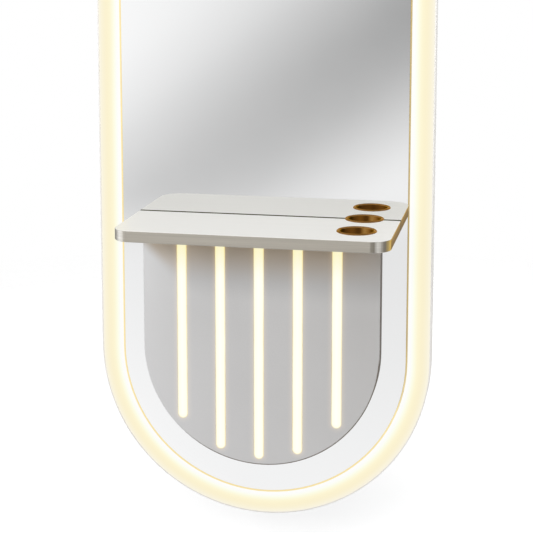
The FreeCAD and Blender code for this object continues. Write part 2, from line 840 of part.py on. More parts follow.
def all_parts():
    """Every piece by name; a list is a group of equal pieces."""
    parts = {
        "outer_rim": outer_rim(),
        "diffuser_ring": diffuser_ring(),
        "mirror_trim": mirror_trim(),
        "mirror_glass": mirror_glass(),
        "mirror_carrier": mirror_carrier(),
        "mirror_pads": mirror_pads(),
        "led_channel": led_channel(),
        "led_strip_ring": led_strip_ring(),
        "frame_upright_left": frame_upright(-arm_x),
        "frame_upright_right": frame_upright(arm_x),
        "back_sheet": back_sheet(),
        "back_screws": back_screws(),
        "wall_rail_lower": wall_rail(wall_hole_zs[0]),
        "wall_rail_upper": wall_rail(wall_hole_zs[1]),
        "hanger_lower": hanger(wall_hole_zs[0]),
        "hanger_upper": hanger(wall_hole_zs[1]),
        "hanger_bolts": hanger_bolts(),
        "hanger_nuts": hanger_nuts(),
        "wall_bumpers": wall_bumpers(),
        "led_driver": led_driver(),
        "driver_screws": driver_screws(),
        "terminal_block": terminal_block(),
        "driver_lead": driver_lead(),
        "ring_lead": ring_lead(),
        "panel_lead": panel_lead(),
        "cable_grommet": cable_grommet(),
        "shelf_skin_rear": shelf_skin(shelf_back, seam_back),
        "shelf_skin_front": shelf_skin(seam_front, shelf_front),
        "shelf_core_rear": shelf_core(shelf_back, seam_back),
        "shelf_core_front": shelf_core(seam_front, shelf_front),
        "shelf_dowels": shelf_dowels(),
        "shelf_gasket": shelf_gasket(),
        "shelf_arm_left": shelf_arm(-arm_x),
        "shelf_arm_right": shelf_arm(arm_x),
        "arm_screws": arm_screws(),
        "arm_bolts": arm_bolts(),
        "arm_nuts": arm_nuts(),
        "arm_bushes": arm_bushes(),
        "panel_face": panel_face(),
        "panel_plate": panel_plate(),
        "plate_screws": plate_screws(),
        "panel_standoffs": panel_standoffs(),
        "bar_strips": bar_strips(),
        "strip_jumpers": strip_jumpers(),
        "panel_connector": panel_connector(),
    }
    for name, z in crossbar_levels().items():
        parts["frame_crossbar_" + name] = frame_crossbar(z)
    for name, depth in zip(sleeve_names, sleeve_depths()):
        parts["tool_sleeve_" + name] = tool_sleeve(depth)
    for i, x in enumerate(bar_xs):
        parts["light_bar_%d" % (i + 1)] = light_bar(x)
    return parts


os.makedirs("parts", exist_ok=True)
for node, piece in all_parts().items():
    shape = Part.makeCompound(piece) if isinstance(piece, list) else piece
    if not shape.isValid():
        raise ValueError(node + " is not a valid solid")
    shape.exportStep("parts/" + node + ".step")
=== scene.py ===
"""Looks of the wall-mounted styling station.

Metres, in the part's own frame: wall at Y = 0, front to -Y, Z up.
"""
import json
import math

import bmesh
import bpy
from mathutils import Matrix, Vector

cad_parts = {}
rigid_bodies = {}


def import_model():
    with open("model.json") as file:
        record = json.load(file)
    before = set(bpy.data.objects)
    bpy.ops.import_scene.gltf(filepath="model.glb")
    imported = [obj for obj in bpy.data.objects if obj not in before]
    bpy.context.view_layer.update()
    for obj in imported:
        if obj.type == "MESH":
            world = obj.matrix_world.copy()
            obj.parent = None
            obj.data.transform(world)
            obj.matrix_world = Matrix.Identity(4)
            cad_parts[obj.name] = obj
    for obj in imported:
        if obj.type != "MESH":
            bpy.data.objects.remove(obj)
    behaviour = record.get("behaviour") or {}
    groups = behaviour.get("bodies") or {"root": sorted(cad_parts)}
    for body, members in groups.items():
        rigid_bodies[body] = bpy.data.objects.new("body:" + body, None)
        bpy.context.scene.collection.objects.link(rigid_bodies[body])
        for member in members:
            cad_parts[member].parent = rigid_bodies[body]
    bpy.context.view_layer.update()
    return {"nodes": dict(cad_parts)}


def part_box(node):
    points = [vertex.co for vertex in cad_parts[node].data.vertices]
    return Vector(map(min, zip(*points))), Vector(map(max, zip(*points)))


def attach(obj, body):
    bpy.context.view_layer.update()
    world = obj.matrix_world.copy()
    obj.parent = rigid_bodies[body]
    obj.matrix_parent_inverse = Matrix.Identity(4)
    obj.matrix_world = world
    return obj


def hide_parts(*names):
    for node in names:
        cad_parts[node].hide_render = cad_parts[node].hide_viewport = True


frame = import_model()
nodes = frame["nodes"]
scene = bpy.context.scene
MM = 0.001

# Places on the part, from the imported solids
MIRROR_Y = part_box("mirror_glass")[0].y
HALF_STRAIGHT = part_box("outer_rim")[1].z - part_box("outer_rim")[1].x
RING_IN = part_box("mirror_trim")[1].x
RING_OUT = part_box("diffuser_ring")[1].x
SHELF_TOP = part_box("shelf_skin_front")[1].z
SHELF_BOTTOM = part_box("shelf_skin_front")[0].z
SEAM_Y = (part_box("shelf_skin_rear")[0].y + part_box("shelf_skin_front")[1].y) / 2
BARS = ["light_bar_%d" % i for i in range(1, 6)]
BAR_FLANGE = 4.3 * MM
BAR_EDGE = (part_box(BARS[0])[1].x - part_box(BARS[0])[0].x) / 2 - BAR_FLANGE
BAR_GLOW_REACH = 14 * MM

# Sleeves
SLEEVE_WALL = 1.5 * MM
SLEEVE_FLANGE = 4.0 * MM
SLEEVE_LIP = 0.6 * MM

# How finely turned pieces are divided, and which of their edges stay sharp
SCREW_SEGMENTS = 40
RUBBER_SEGMENTS = 56
SLEEVE_SEGMENTS = 128
SHARP_ANGLE = math.radians(40)

# Noise that is alike in all directions, and a second draw beside the first
EVEN = (1, 1, 1)
SECOND_DRAW = (3.1, 1.7, 0.4)

# Camera and floor
IMAGE_PIXELS = 533
FOCAL_PIXELS = 1400
SENSOR = 36.0
CAMERA_PLACE = (0.5839, -2.9065, 0.3645)
CAMERA_DOWN = 0.14
CAMERA_LEFT = 0.1988
CAMERA_SHIFT = -0.2625
FLOOR_Z = -1.06
FLOOR_RADIUS = 3.3


def linear(r, g, b):
    """Colour from 0-255 display values."""
    def one(c):
        c /= 255
        return c / 12.92 if c <= 0.04045 else ((c + 0.055) / 1.055) ** 2.4
    return (one(r), one(g), one(b), 1.0)


def grey(value):
    return (value, value, value, 1.0)


class Graph:
    """Node graph of one material, or of the world."""

    def __init__(self, name, owner=None):
        self.owner = owner or bpy.data.materials.new(name)
        self.owner.use_nodes = True
        self.tree = self.owner.node_tree
        self.tree.nodes.clear()
        self.place = None

    def node(self, kind, inputs=None, **settings):
        n = self.tree.nodes.new("ShaderNode" + kind)
        for key, value in settings.items():
            setattr(n, key, value)
        for key, value in (inputs or {}).items():
            if isinstance(value, bpy.types.NodeSocket):
                self.tree.links.new(value, n.inputs[key])
            else:
                n.inputs[key].default_value = value
        return n

    def where(self):
        """Place on the part, in metres."""
        if self.place is None:
            self.place = self.node("TexCoord").outputs["Object"]
        return self.place

    def split(self, vector):
        n = self.node("SeparateXYZ", {0: vector})
        return n.outputs[0], n.outputs[1], n.outputs[2]

    def facing(self):
        """Components of the surface's direction."""
        return self.split(self.node("NewGeometry").outputs["Normal"])

    def edge(self):
        """1 along sharp outer edges, 0 elsewhere."""
        return self.remap(self.node("NewGeometry").outputs["Pointiness"], 0.5, 0.6)

    def math(self, operation, a, b=0.0):
        return self.node("Math", {0: a, 1: b}, operation=operation).outputs[0]

    def add(self, a, b):
        return self.math("ADD", a, b)

    def minus(self, a, b):
        return self.math("SUBTRACT", a, b)

    def times(self, a, b):
        return self.math("MULTIPLY", a, b)

    def larger(self, a, b):
        return self.math("MAXIMUM", a, b)

    def smaller(self, a, b):
        return self.math("MINIMUM", a, b)

    def length(self, a, b):
        """Length of the long side of a right triangle."""
        return self.math("SQRT", self.add(self.times(a, a), self.times(b, b)))

    def remap(self, value, a, b, c=0.0, d=1.0, kind="LINEAR"):
        """Value carried from the range a to b to the range c to d, and held there."""
        n = self.node("MapRange", {0: value, 1: a, 2: b, 3: c, 4: d}, clamp=True, interpolation_type=kind)
        return n.outputs[0]

    def ramp(self, value, stops, ease="EASE"):
        n = self.node("ValToRGB", {0: value})
        n.color_ramp.interpolation = ease
        elements = n.color_ramp.elements
        while len(elements) < len(stops):
            elements.new(0.5)
        for element, (position, colour) in zip(elements, stops):
            element.position = position
            element.color = colour
        return n.outputs[0]

    def mix(self, fac, a, b, blend="MIX"):
        """Mix of two colours."""
        return self.node("Mix", {0: fac, 6: a, 7: b}, data_type="RGBA", blend_type=blend).outputs[2]

    def blend(self, fac, a, b):
        """Mix of two numbers."""
        return self.node("Mix", {0: fac, 2: a, 3: b}, data_type="FLOAT").outputs[0]

    def direction(self, fac, a, b):
        """Mix of two directions."""
        return self.node("Mix", {0: fac, 4: a, 5: b}, data_type="VECTOR").outputs[1]

    def noise(self, scale, stretch=EVEN, detail=3.0, rough=0.55, offset=(0, 0, 0)):
        """Grey noise from 0 to 1; stretch multiplies how fine it is along each direction."""
        place = self.node("Mapping", {"Vector": self.where(), "Scale": stretch, "Location": offset})
        n = self.node("TexNoise", {
            "Vector": place.outputs[0], "Scale": scale, "Detail": detail, "Roughness": rough})
        return n.outputs[0]

    def hairlines(self, stretch, coarse_stretch, coarse_scale):
        """Fine lines along one direction with coarser ones among them."""
        fine = self.noise(1.0, stretch, 4.0, 0.7)
        coarse = self.noise(coarse_scale, coarse_stretch, 2.0, 0.5, SECOND_DRAW)
        return self.add(self.times(fine, 0.6), self.times(coarse, 0.4))

    def bump(self, height, strength, distance):
        return self.node("Bump", {"Height": height, "Strength": strength, "Distance": distance}).outputs[0]

    def seen(self):
        """1 for rays that go straight to the eye, 0 for light on other surfaces."""
        path = self.node("LightPath")
        return self.larger(path.outputs["Is Camera Ray"], path.outputs["Is Transmission Ray"])

    def finish(self, inputs):
        shader = self.node("BsdfPrincipled", inputs)
        self.node("OutputMaterial", {0: shader.outputs[0]})
        return self.owner


# Materials

def brushed(name, base, dark, rough, stretch, metallic=1.0):
    """Metal or wood with hairlines along one direction."""
    g = Graph(name)
    streak = g.hairlines(stretch, stretch, 0.35)
    cloud = g.noise(9.0, detail=2.0)
    colour = g.mix(g.remap(streak, 0.35, 0.65), dark, base)
    colour = g.mix(g.remap(cloud, 0.3, 0.7, 0.0, 0.25), colour, dark)
    colour = g.mix(g.times(g.edge(), 0.15), colour, (1.0, 0.99, 0.96, 1.0))
    return g.finish({
        "Base Color": colour, "Metallic": metallic,
        "Roughness": g.remap(streak, 0.3, 0.7, rough - 0.06, rough + 0.08),
        "Normal": g.bump(streak, 0.06, 0.4 * MM),
    })


def satin(name, base, dark, rough, metallic=0.0, speck=900.0, bump=0.05, wear=0.6):
    """Painted, moulded or plated surface with a fine speckle, soft clouds and lighter edges."""
    g = Graph(name)
    grain = g.noise(speck, detail=2.0)
    cloud = g.noise(14.0)
    colour = g.mix(g.remap(cloud, 0.3, 0.7, 0.0, 0.6), base, dark)
    colour = g.mix(g.remap(grain, 0.45, 0.75, 0.0, 0.35), colour, dark)
    if wear:
        worn = tuple(min(1.0, 1.25 * c + 0.03) for c in base[:3]) + (1.0,)
        colour = g.mix(g.times(g.edge(), wear), colour, worn)
    mottle = g.add(cloud, g.times(grain, 0.5))
    return g.finish({
        "Base Color": colour, "Metallic": metallic,
        "Roughness": g.remap(mottle, 0.4, 1.1, rough - 0.08, rough + 0.1),
        "Normal": g.bump(grain, bump, 0.3 * MM),
    })


def frosted(g, glow, strength, base, fineness):
    """Frosted surface that glows."""
    frost = g.noise(fineness, detail=2.0)
    return g.finish({
        "Base Color": base, "Roughness": g.remap(frost, 0.3, 0.7, 0.4, 0.6), "Specular IOR Level": 0.1,
        "Normal": g.bump(frost, 0.08, 0.3 * MM), "Emission Color": glow, "Emission Strength": strength,
    })


def ring_distance(g):
    """Distance from the mirror's centre line, measured square to its outline."""
    x, _, z = g.split(g.where())
    rise = g.larger(g.minus(g.math("ABSOLUTE", z), HALF_STRAIGHT), 0.0)
    return g.length(x, rise)


def opal_ring():
    """Frosted ring, lit from behind: whitest beside the mirror, cream towards the rim."""
    g = Graph("opal_ring")
    across = g.remap(ring_distance(g), RING_IN, RING_OUT)
    cloud = g.times(g.minus(g.noise(6.0, detail=2.0), 0.5), 0.04)
    glow = g.ramp(g.add(across, cloud), [
        (0.0, linear(255, 254, 249)), (0.14, linear(253, 253, 250)), (0.28, linear(253, 253, 234)),
        (0.42, linear(253, 247, 216)), (0.58, linear(251, 242, 208)), (0.75, linear(250, 241, 210)),
        (0.9, linear(250, 243, 219)), (1.0, linear(250, 245, 228))], "CARDINAL")
    return frosted(g, glow, 0.98, (0.02, 0.02, 0.018, 1.0), 700.0)


def bar_distance(g, node):
    """Distance from the centre line of one light bar."""
    low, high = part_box(node)
    radius = (high.x - low.x) / 2
    x, _, z = g.split(g.where())
    across = g.minus(x, (low.x + high.x) / 2)
    below = g.minus(low.z + radius, z)
    above = g.minus(z, high.z - radius)
    return g.length(across, g.larger(g.larger(below, above), 0.0))


def opal_bar(node):
    """Frosted bar, lit from behind: golden along its edge and yellower at the top."""
    g = Graph("opal_" + node)
    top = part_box(node)[1].z
    z = g.split(g.where())[2]
    cloud = g.times(g.minus(g.noise(9.0, detail=2.0), 0.5), 0.2)
    across = g.add(g.remap(bar_distance(g, node), 0.0, BAR_EDGE), cloud)
    glow = g.ramp(across, [
        (0.0, linear(254, 254, 246)), (0.72, linear(254, 254, 238)),
        (0.92, linear(253, 249, 218)), (1.0, linear(243, 221, 164))])
    upper = g.remap(z, top - 0.13, top - 0.04, 0.0, 0.8, "SMOOTHSTEP")
    glow = g.mix(upper, glow, linear(252, 243, 196), "MULTIPLY")
    return frosted(g, glow, 1.0, (0.02, 0.02, 0.016, 1.0), 800.0)


def mirror():
    """Silvered glass with the faintest uneven polish."""
    g = Graph("mirror")
    cloud = g.noise(5.0)
    return g.finish({
        "Base Color": g.mix(cloud, (0.90, 0.905, 0.91, 1.0), (0.93, 0.93, 0.93, 1.0)),
        "Metallic": 1.0, "Roughness": g.remap(cloud, 0.3, 0.7, 0.05, 0.08),
    })


def gold_trim():
    """Polished gold bead with a painted glow standing for the light of the lit ring beside it, least on the
    straight right side.
    """
    g = Graph("gold_trim")
    x, _, z = g.split(g.where())
    cloud = g.noise(40.0, detail=2.0)
    # Painted glow: emission standing for the lit ring's light, least on the straight right side
    lit = g.larger(g.remap(x, 0.2, 0.31, 0.46, 0.03), g.remap(z, -0.5, -0.66, 0.03, 0.46))
    return g.finish({
        "Base Color": g.mix(g.remap(cloud, 0.3, 0.7), linear(204, 180, 124), linear(212, 188, 132)),
        "Metallic": 0.8, "Roughness": g.remap(cloud, 0.3, 0.7, 0.36, 0.44),
        "Normal": g.bump(cloud, 0.02, 0.2 * MM),
        "Emission Color": linear(252, 239, 186), "Emission Strength": lit,
    })


def sleeve_brass():
    """Turned brass with lines round the bore, painted shade and a painted highlight stripe by which way the
    surface faces, and a lighter lip.
    """
    g = Graph("sleeve_brass")
    _, y, z = g.split(g.where())
    nx, _, nz = g.facing()
    lines = g.noise(1.0, (20, 20, 1900), 4.0, 0.7)
    cloud = g.noise(30.0, detail=2.0)
    turn = g.remap(nx, -1.0, 1.0)
    # Painted shade round the bore with a painted highlight stripe, by which way the surface faces
    stripe_and_shade_painted = g.ramp(turn, [
        (0.0, linear(66, 40, 14)), (0.1, linear(102, 64, 24)), (0.2, linear(138, 93, 40)),
        (0.28, linear(170, 124, 62)), (0.34, linear(188, 142, 76)), (0.39, linear(168, 122, 58)),
        (0.45, linear(114, 74, 27)), (0.5, linear(94, 58, 17)), (0.57, linear(100, 62, 18)),
        (0.66, linear(126, 81, 27)), (0.76, linear(116, 73, 23)), (0.9, linear(72, 44, 13)),
        (1.0, linear(40, 24, 8))], "CARDINAL")
    # Painted shade alone, by which way the surface faces
    shade_only_painted = g.ramp(turn, [
        (0.0, linear(62, 38, 13)), (0.14, linear(94, 58, 19)), (0.3, linear(112, 71, 24)),
        (0.5, linear(84, 51, 14)), (0.64, linear(98, 61, 19)), (0.9, linear(66, 40, 12)),
        (1.0, linear(38, 23, 8))], "CARDINAL")
    # Painted shade alone in the rear bore; the other bores also get the painted highlight stripe
    colour = g.mix(g.remap(y, -0.18, -0.2), shade_only_painted, stripe_and_shade_painted)
    colour = g.mix(g.remap(lines, 0.35, 0.65, 0.0, 0.4), colour, linear(80, 50, 18))
    colour = g.mix(g.remap(cloud, 0.35, 0.7, 0.0, 0.3), colour, linear(74, 47, 17))
    lip = g.remap(z, SHELF_TOP - 0.5 * MM, SHELF_TOP + 0.5 * MM)
    colour = g.mix(lip, colour, linear(158, 116, 64))
    flat = g.remap(g.math("ABSOLUTE", nz), 0.7, 0.9)
    return g.finish({
        "Base Color": colour, "Metallic": 1.0, "Roughness": g.remap(lines, 0.3, 0.7, 0.22, 0.3),
        "Specular Tint": linear(234, 204, 156), "Normal": g.bump(lines, 0.06, 0.3 * MM),
        "Anisotropic": 0.85, "Tangent": g.direction(flat, (0, 0, 1), (1, 0, 0)),
    })


def panel_shade(g, x, z, colour):
    """Painted soft shade of the shelf on the panel: warm, slanting off at the left, weaker at the right edge,
    with painted light beside it at the left.
    """
    shaded = g.remap(g.add(x, z), -0.575, -0.53, kind="SMOOTHSTEP")
    height = g.remap(z, SHELF_BOTTOM - 0.17, SHELF_BOTTOM - 0.07, kind="SMOOTHSTEP")
    # Painted light where the shade slants off at the left
    clear = g.times(g.minus(1.0, shaded), g.remap(z, -0.42, -0.33, 0.0, 0.5))
    colour = g.mix(clear, colour, linear(240, 240, 240))
    inward = g.larger(g.remap(x, -0.2, -0.15), g.remap(z, -0.31, -0.35))
    warm = g.mix(inward, linear(188, 173, 154), linear(215, 197, 175))
    shaded = g.times(shaded, g.remap(x, 0.16, 0.25, 1.0, 0.45))
    return g.mix(g.times(shaded, height), colour, warm)


def panel_shade_away_painted(g, x, z, nx):
    """1 where the panel gets painted shade: on its side to the right, and on its round lower edge towards the
    right.
    """
    low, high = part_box("panel_face")
    radius = (high.x - low.x) / 2
    drop = g.minus(low.z + radius, z)
    turned_away = g.add(g.times(x, 0.5 / radius), g.times(drop, 0.87 / radius))
    # Painted shade on the rim of the round lower edge, where it turns away to the right
    rim_shade_painted = g.times(g.remap(g.length(x, drop), radius - 3.0 * MM, radius - 1.2 * MM),
                   g.remap(turned_away, 0.25, 0.6))
    return g.larger(g.remap(nx, 0.4, 0.9), g.times(rim_shade_painted, g.remap(drop, 0.0, 0.02)))


def panel_steel():
    """Satin steel sheet with a bead-blasted grain, painted light and shade, and a painted warm glow beside
    the lit slots.
    """
    g = Graph("panel_steel")
    x, _, z = g.split(g.where())
    nx = g.facing()[0]
    grain = g.noise(900.0, EVEN, 3.0, 0.6)
    cloud = g.noise(7.0, detail=2.0)
    colour = g.mix(g.remap(grain, 0.3, 0.7), linear(208, 207, 207), linear(219, 218, 218))
    colour = g.mix(g.remap(cloud, 0.3, 0.7, 0.0, 0.3), colour, linear(200, 199, 198))
    # Painted light to the left, painted shade to the right
    colour = g.mix(g.remap(x, -0.25, -0.05, 0.4, 0.0), colour, linear(226, 226, 227))
    colour = g.mix(g.remap(x, -0.25, 0.25, 0.0, 0.5), colour, linear(184, 182, 180))
    colour = g.mix(g.remap(x, 0.1, 0.22, 0.0, 0.25), colour, linear(176, 174, 172))
    colour = panel_shade(g, x, z, colour)
    # Painted light, lighter again towards the bottom
    colour = g.mix(g.remap(z, -0.45, -0.75, 0.0, 0.35), colour, linear(232, 231, 231))
    # Painted shade, dark on the side facing right and on the round edge below it
    colour = g.mix(panel_shade_away_painted(g, x, z, nx), colour, linear(108, 98, 86))
    # Painted warm glow beside the lit slots
    near = bar_distance(g, BARS[0])
    for bar in BARS[1:]:
        near = g.smaller(near, bar_distance(g, bar))
    glow = g.math("POWER", g.remap(near, BAR_EDGE, BAR_EDGE + BAR_GLOW_REACH, 1.0, 0.0), 2.0)
    return g.finish({
        "Base Color": colour, "Metallic": 0.1, "Roughness": g.remap(grain, 0.3, 0.7, 0.42, 0.52),
        "Specular IOR Level": 0.3, "Normal": g.bump(grain, 0.05, 0.3 * MM),
        "Emission Color": g.mix(glow, grey(0), (0.10, 0.065, 0.025, 1)), "Emission Strength": 1.0,
    })


def shelf_side(g, nx, z, golden):
    """Colour and hairlines of the shelf's sides: nickel with painted reflections banding the round corners,
    and a painted golden reflection on the right end.
    """
    # Painted reflections: light and dark bands by which way the side faces
    side = g.ramp(g.remap(nx, -1.0, 1.0), [
        (0.0, linear(190, 184, 173)), (0.08, linear(184, 178, 167)), (0.15, linear(234, 231, 224)),
        (0.225, linear(252, 250, 244)), (0.31, linear(245, 241, 233)), (0.36, linear(204, 198, 187)),
        (0.43, linear(192, 186, 175)), (0.515, linear(192, 186, 175)), (0.55, linear(150, 144, 133)),
        (0.61, linear(140, 134, 123)), (0.65, linear(196, 192, 184)), (0.7, linear(228, 225, 218)),
        (0.76, linear(216, 212, 204)), (0.8, linear(182, 176, 166)), (0.85, linear(142, 135, 122)),
        (0.94, linear(134, 124, 106))])
    lines = g.hairlines((6, 6, 900), (8, 8, 900), 0.3)
    side = g.mix(g.remap(lines, 0.3, 0.7, 0.0, 0.32), side, linear(124, 119, 109))
    # Painted golden reflection on the right end, shaded darker towards its bottom
    end = g.ramp(g.remap(z, SHELF_BOTTOM, SHELF_TOP), [
        (0.0, linear(98, 82, 54)), (0.3, linear(132, 110, 72)),
        (0.75, linear(166, 140, 92)), (0.92, linear(228, 190, 108))])
    # Painted highlight where the end faces straight right
    gold = g.mix(g.remap(nx, 0.98, 0.999), linear(250, 220, 142), end)
    return g.mix(golden, side, gold), lines


def shelf_metal(name, pale, shade):
    """Brushed board: pale hairlined top, sides with lines round them, painted shade in the seam between
    painted highlights on its edges, and painted shade by the seam on the golden end.
    """
    g = Graph(name)
    _, y, z = g.split(g.where())
    nx, _, nz = g.facing()
    flat = g.remap(g.math("ABSOLUTE", nz), 0.55, 0.9)
    # Mask of the painted golden reflection on the right end
    golden = g.remap(nx, 0.76, 0.94)
    side, side_lines = shelf_side(g, nx, z, golden)
    top_lines = g.hairlines((5, 380, 380), (4, 380, 380), 0.3)
    cloud = g.noise(6.0, detail=2.0)
    top = g.mix(g.remap(top_lines, 0.3, 0.7), shade, pale)
    top = g.mix(g.remap(cloud, 0.3, 0.7, 0.0, 0.3), top, shade)
    colour = g.mix(flat, side, top)
    from_seam = g.math("ABSOLUTE", g.minus(y, SEAM_Y))
    # Painted highlights along the top edges beside the seam
    seam_edge_highlight_painted = g.times(g.remap(from_seam, 6 * MM, 13 * MM, 1.0, 0.0), flat)
    colour = g.mix(seam_edge_highlight_painted, colour, linear(255, 255, 252))
    # Painted shade by the seam on the golden end
    end_seam_shade_painted = g.times(g.remap(from_seam, 6 * MM, 12 * MM, 0.7, 0.0), golden)
    colour = g.mix(end_seam_shade_painted, colour, linear(88, 72, 44))
    # Painted shade darkening the seam
    seam = g.remap(from_seam, 5.3 * MM, 6.3 * MM, 1.0, 0.0)
    colour = g.mix(seam, colour, linear(64, 62, 38))
    streak = g.blend(flat, side_lines, top_lines)
    return g.finish({
        "Base Color": colour, "Metallic": g.blend(seam, g.remap(flat, 0.0, 1.0, 0.8, 0.5), 0.2),
        "Roughness": g.add(g.remap(streak, 0.3, 0.7, 0.36, 0.44), g.times(flat, -0.08)),
        "Specular Tint": g.mix(golden, grey(1.0), linear(190, 160, 104)),
        "Normal": g.bump(streak, 0.04, 0.4 * MM),
        "Anisotropic": 0.7, "Tangent": g.direction(flat, (0, 0, 1), (0, 1, 0)),
    })


# Plain materials: kind, base colour, darker colour, and the rest by name
PLAIN = {
    "rim_metal": (satin, (246, 243, 238), (241, 238, 233),
                  dict(rough=0.4, metallic=0.55, speck=1500.0, bump=0.02, wear=0.0)),
    "carrier_sheet": (satin, (150, 152, 155), (128, 130, 134), dict(rough=0.5, metallic=0.3)),
    "adhesive_foam": (satin, (60, 60, 62), (42, 42, 44), dict(rough=0.9, speck=1500.0, bump=0.3)),
    "inner_aluminium": (brushed, (200, 201, 203), (170, 172, 175), dict(rough=0.35, stretch=(12, 900, 900))),
    "led_strip": (satin, (236, 232, 220), (214, 208, 190), dict(rough=0.5, speck=1200.0, bump=0.1)),
    "back_paint": (satin, (196, 198, 200), (182, 184, 187), dict(rough=0.55, speck=1300.0, bump=0.25)),
    "zinc_fasteners": (brushed, (205, 206, 204), (160, 162, 160), dict(rough=0.3, stretch=(400, 400, 400))),
    "galvanised_steel": (satin, (178, 184, 188), (140, 147, 152), dict(rough=0.42, metallic=0.9, speck=60.0)),
    "frame_steel": (satin, (70, 72, 75), (52, 54, 57), dict(rough=0.5, speck=1100.0, bump=0.2)),
    "black_rubber": (satin, (44, 44, 45), (30, 30, 31), dict(rough=0.75, speck=1400.0, bump=0.3)),
    "driver_case": (satin, (228, 228, 226), (210, 210, 208), dict(rough=0.5, speck=1200.0, bump=0.15)),
    "white_plastic": (satin, (238, 238, 234), (222, 222, 217), dict(rough=0.4, speck=1200.0, bump=0.1)),
    "lead_sheath": (satin, (235, 234, 230), (215, 214, 209), dict(rough=0.55, speck=1200.0, bump=0.15)),
    "core_board": (satin, (170, 138, 100), (138, 108, 74), dict(rough=0.8, speck=700.0, bump=0.4)),
    "dowel_wood": (brushed, (214, 180, 134), (180, 142, 96),
                   dict(rough=0.6, stretch=(500, 20, 500), metallic=0.0)),
    "arm_steel": (satin, (198, 197, 193), (176, 175, 171),
                  dict(rough=0.42, metallic=0.5, speck=1100.0, bump=0.15)),
}
materials = {name: kind(name, linear(*base), linear(*dark), **look)
             for name, (kind, base, dark, look) in PLAIN.items()}
materials["opal_ring"] = opal_ring()
materials["gold_trim"] = gold_trim()
materials["mirror"] = mirror()
materials["panel_steel"] = panel_steel()
materials["sleeve_brass"] = sleeve_brass()

# Nodes with a material of their own
own_materials = {bar: opal_bar(bar) for bar in BARS}
# The rear board is a darker copy of the front board's metal: painted shade
own_materials["shelf_skin_rear"] = shelf_metal(
    "shelf_metal_rear", linear(243, 242, 237), linear(234, 233, 227))
own_materials["shelf_skin_front"] = shelf_metal(
    "shelf_metal_front", linear(254, 253, 249), linear(246, 245, 240))
for name, obj in nodes.items():
    for s in obj.material_slots:
        s.material = own_materials.get(name) or materials[s.material.name.split(".")[0]]


# Turned and cut pieces in place of plain CAD ones

def turned(bm, profile, place, segments, closed=False):
    """Turn a profile of (radius, height) in millimetres about the axis of place."""
    rings = []
    for radius, height in profile:
        angles = [2 * math.pi * i / segments for i in range(segments if radius else 1)]
        points = [Vector((radius * math.cos(a), radius * math.sin(a), height)) for a in angles]
        rings.append([bm.verts.new(place @ (MM * point)) for point in points])
    pairs = list(zip(rings, rings[1:]))
    if closed:
        pairs.append((rings[-1], rings[0]))
    for low, high in pairs:
        for i in range(segments):
            j = (i + 1) % segments
            corners = [low[i % len(low)], low[j % len(low)], high[j % len(high)], high[i % len(high)]]
            bm.faces.new(dict.fromkeys(corners))


def prism(outline, low, high, taper):
    """Mesh of an outline in millimetres drawn up from one height to another, narrower at the low end."""
    bm = bmesh.new()
    ends = [[bm.verts.new(MM * Vector((scale * x, scale * y, height))) for x, y in outline]
            for scale, height in ((taper, low), (1.0, high))]
    for i in range(len(outline)):
        j = (i + 1) % len(outline)
        bm.faces.new((ends[0][i], ends[0][j], ends[1][j], ends[1][i]))
    bm.faces.new(ends[0])
    bm.faces.new(ends[1])
    return finished_mesh("drive", bm)


def finished_mesh(name, bm):
    bmesh.ops.recalc_face_normals(bm, faces=bm.faces)
    mesh = bpy.data.meshes.new(name)
    bm.to_mesh(mesh)
    bm.free()
    return mesh


def cut(mesh, tool):
    """One closed mesh with another cut out of it."""
    body, cutter = (bpy.data.objects.new(m.name, m) for m in (mesh, tool))
    for obj in (body, cutter):
        scene.collection.objects.link(obj)
    modifier = body.modifiers.new("cut", "BOOLEAN")
    modifier.object = cutter
    modifier.operation = "DIFFERENCE"
    modifier.solver = "EXACT"
    result = bpy.data.meshes.new_from_object(body.evaluated_get(bpy.context.evaluated_depsgraph_get()))
    for obj in (body, cutter):
        bpy.data.objects.remove(obj)
    return result


def add_piece(name, mesh, body, slot, replaced):
    """A finished mesh that stands for one CAD node."""
    mesh.polygons.foreach_set("use_smooth", [True] * len(mesh.polygons))
    mesh.set_sharp_from_angle(angle=SHARP_ANGLE)
    mesh.materials.clear()
    mesh.materials.append(materials[slot])
    obj = bpy.data.objects.new(name, mesh)
    scene.collection.objects.link(obj)
    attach(obj, body)
    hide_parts(replaced)


def solids_of(node):
    """Lowest and highest corner of each separate solid in a node."""
    bm = bmesh.new()
    bm.from_mesh(nodes[node].data)
    bmesh.ops.remove_doubles(bm, verts=bm.verts, dist=0.001 * MM)
    seen = set()
    boxes = []
    for first in bm.verts:
        if first in seen:
            continue
        seen.add(first)
        group = [first]
        for v in group:
            near = [n for n in (e.other_vert(v) for e in v.link_edges) if n not in seen]
            seen.update(near)
            group.extend(near)
        low = Vector(min(v.co[i] for v in group) for i in range(3))
        high = Vector(max(v.co[i] for v in group) for i in range(3))
        boxes.append((low, high))
    bm.free()
    return boxes


# Threads and tip, as shares of the shank's radius
THREAD_PITCH = 0.35
THREAD_ROOT = 0.82
SHANK_TIP = 0.6

# Drives, for a reach of 1
DRIVE_TAPER = 0.6
CROSS = [(1, -0.2), (1, 0.2), (0.2, 0.2), (0.2, 1), (-0.2, 1), (-0.2, 0.2),
         (-1, 0.2), (-1, -0.2), (-0.2, -0.2), (-0.2, -1), (0.2, -1), (0.2, -0.2)]
HEXAGON = [(math.cos(math.pi * i / 3), math.sin(math.pi * i / 3)) for i in range(6)]


